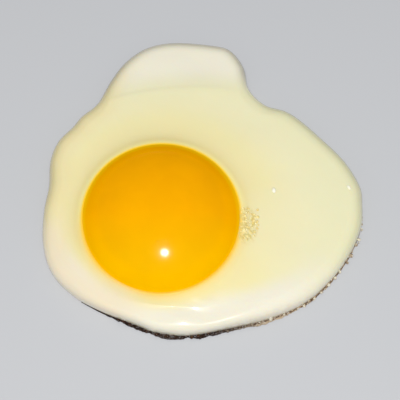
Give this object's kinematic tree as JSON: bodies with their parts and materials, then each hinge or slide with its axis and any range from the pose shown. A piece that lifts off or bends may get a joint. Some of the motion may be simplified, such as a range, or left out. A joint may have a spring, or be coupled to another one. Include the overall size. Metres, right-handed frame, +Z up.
{
  "type": "fried egg",
  "caption": "Fried egg, sunny side up: a domed yolk in a pocket of glossy set white, with a rounded back lobe and a bubbly crisp edge.",
  "frame": {"origin": "middle of the egg's footprint, on the surface that it rests on", "axes": "+Z up through the yolk, +Y towards the rounded back lobe, +X towards the wide side of the white"},
  "size_m": [0.0882, 0.09, 0.0161],
  "materials": {
    "white": "gloss",
    "yolk": "gloss"
  },
  "bodies": {
    "root": {"white": "white", "yolk": "yolk"}
  },
  "joints": []
}
